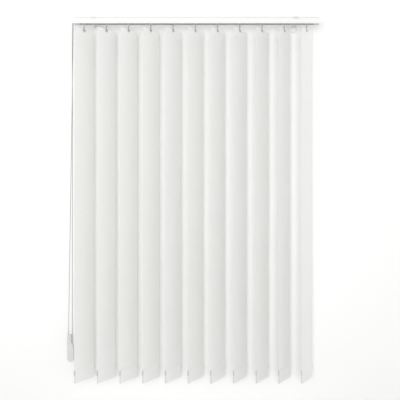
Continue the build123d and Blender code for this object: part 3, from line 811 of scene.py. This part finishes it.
def stitchMesh(number):  # the lockstitch of both seams, on both faces
    s, t = louvreSet, stitchSet
    bm = bmesh.new()
    halfWidth = s["cut"][0] / 2 - t["inset"]
    count = int(2 * halfWidth / t["pitch"])
    skin, thick = s["cloth"] / 2, t["thick"] / 2
    seams = (
        (-s["topSeam"] - t["offSeam"], s["topHalf"]),
        (-louvreDrop + s["bottomSeam"] + t["offSeam"], s["bottomHalf"]),
    )
    shape = Matrix.Diagonal((t["length"] / 2, thick, thick, 1))
    lean = Matrix.Rotation(math.radians(t["lean"]), 4, "Y")
    for z, half in seams:
        for y in (-t["frontShare"] * half - skin, s["backAtSeam"] + skin):
            for step in range(count):
                x = (step - (count - 1) / 2) * t["pitch"]
                bmesh.ops.create_uvsphere(
                    bm, u_segments=6, v_segments=4, radius=1.0,
                    matrix=Matrix.Translation((x, y, z)) @ lean @ shape, calc_uvs=True,
                )
    bmesh.ops.transform(bm, matrix=hangingPlace(number), verts=bm.verts)
    return meshFrom(bm, "hem_stitches_" + tag(number))


flatMesh = flatLouvreMesh()
for number in range(1, louvreCount + 1):
    body = "blade_" + tag(number)
    hung = hangLouvre(flatMesh, number)
    cloth = addPiece(hung.name, hung, body, materials["louvre_cloth"])
    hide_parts("louvre_" + tag(number))
    sewn = stitchMesh(number)
    stitches = addPiece(sewn.name, sewn, body, materials["hem_thread"])
print("louvres hung")


screwSet = {
    "head": 1.45 * mm,
    "height": 1.1 * mm,
    "socket": 0.75 * mm,
    "depth": 0.6 * mm,
    "sunk": 2.5 * mm,
    "aside": 2 * mm,             # left of the pulley's middle
    "drops": (18 * mm, 42 * mm),
    "sides": 24,
}


def weightScrews():
    s = screwSet
    low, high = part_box("weight_front_shell")
    x = middle("weight_pulley").x - s["aside"]
    bm = bmesh.new()
    for drop in s["drops"]:
        seat = Vector((x, low.y + s["sunk"], high.z - drop))
        place = Matrix.Translation(seat) @ Matrix.Rotation(math.radians(90), 4, "X")
        made = bmesh.ops.create_circle(
            bm, cap_ends=True, segments=s["sides"], radius=s["head"], matrix=place,
        )
        faces = list({face for vertex in made["verts"] for face in vertex.link_faces})
        grown = bmesh.ops.extrude_face_region(bm, geom=faces)["geom"]
        verts = ofKind(grown, bmesh.types.BMVert)
        bmesh.ops.translate(bm, vec=(0, -s["height"], 0), verts=verts)
        tops = ofKind(grown, bmesh.types.BMFace)
        bmesh.ops.inset_individual(bm, faces=tops, thickness=s["head"] - s["socket"])
        socket = bmesh.ops.extrude_discrete_faces(bm, faces=tops)["faces"]
        verts = list({vertex for face in socket for vertex in face.verts})
        bmesh.ops.translate(bm, vec=(0, s["depth"], 0), verts=verts)
    bmesh.ops.recalc_face_normals(bm, faces=bm.faces)
    return meshFrom(bm, "weight_screws", False)


addPiece("weight_screws", weightScrews(), "root", materials["screw_steel"])
print("screws in")


stageSet = {
    "wall": 0.88,
    "floor": 0.74,
    "blueShare": 0.995,          # the blue of each tone, a touch under its red and green
    "roughness": 0.9,
    "specular": 0.1,
    "floorDrop": 0.95,           # below the lowest point of the blind
    "size": 9.0,
    "wallGap": 15 * mm,
}


def stageMaterial(name, tone, seeThroughBack):
    material, tree, shader = newMaterial(name)
    shader.inputs["Base Color"].default_value = (tone, tone, tone * stageSet["blueShare"], 1)
    shader.inputs["Roughness"].default_value = stageSet["roughness"]
    shader.inputs["Specular IOR Level"].default_value = stageSet["specular"]
    if seeThroughBack:
        clear = tree.nodes.new("ShaderNodeBsdfTransparent")
        chooser = tree.nodes.new("ShaderNodeMixShader")
        geometry = tree.nodes.new("ShaderNodeNewGeometry")
        tree.links.new(geometry.outputs["Backfacing"], chooser.inputs[0])
        tree.links.new(shader.outputs[0], chooser.inputs[1])
        tree.links.new(clear.outputs[0], chooser.inputs[2])
        tree.links.new(chooser.outputs[0], tree.nodes["Material Output"].inputs["Surface"])
    return material


def stagePlane(name, place, material):
    bm = bmesh.new()
    bmesh.ops.create_grid(bm, x_segments=1, y_segments=1, size=stageSet["size"] / 2, matrix=place)
    plane = bpy.data.objects.new(name, meshFrom(bm, name, False))
    plane.data.materials.append(material)
    bpy.context.scene.collection.objects.link(plane)


floorZ = cadLow[2] - stageSet["floorDrop"]
floorPlace = Matrix.Translation((0, 0, floorZ))
stagePlane("floor", floorPlace, stageMaterial("floor", stageSet["floor"], False))
wallPlace = Matrix.Translation((0, stageSet["wallGap"], floorZ + stageSet["size"] / 2))
wallPlace = wallPlace @ Matrix.Rotation(math.radians(90), 4, "X")
stagePlane("wall", wallPlace, stageMaterial("wall", stageSet["wall"], True))

lightSet = {
    "level": 1.23,           # strength of the sky level with the camera
    "above": 0.10,           # straight up
    "below": 0.40,           # straight down
    "band": (0.15, 0.9),     # height of a look where the sky starts and stops changing
    "key": {"place": (-0.4, -3.7, -0.6), "size": 2.4, "power": 64.0},
}


def addLight(name, values, target):
    data = bpy.data.lights.new(name, "AREA")
    data.size = values["size"]
    data.energy = values["power"]
    light = bpy.data.objects.new(name, data)
    light.location = values["place"]
    heading = Vector(target) - Vector(values["place"])
    light.rotation_euler = heading.to_track_quat("-Z", "Y").to_euler()
    bpy.context.scene.collection.objects.link(light)


target = (0, railY, (cadLow[2] + cadHigh[2]) / 2)
addLight("key", lightSet["key"], target)
world = bpy.data.worlds.new("world")
bpy.context.scene.world = world
world.use_nodes = True
sky = world.node_tree
aim = sky.nodes.new("ShaderNodeSeparateXYZ")
sky.links.new(coordinate(sky, "Generated"), aim.inputs["Vector"])
height = aim.outputs["Z"]
near, far = lightSet["band"]
upper = rangeNode(sky, height, lightSet["level"], lightSet["above"], near, far)
lower = rangeNode(sky, height, lightSet["below"], lightSet["level"], -far, -near)
strength = mathNode(sky, "MINIMUM", upper, lower)
sky.nodes["Background"].inputs["Color"].default_value = (1, 1, 1, 1)
sky.links.new(strength, sky.nodes["Background"].inputs["Strength"])
bpy.context.scene.view_settings.view_transform = "Standard"
print("stage and light set")
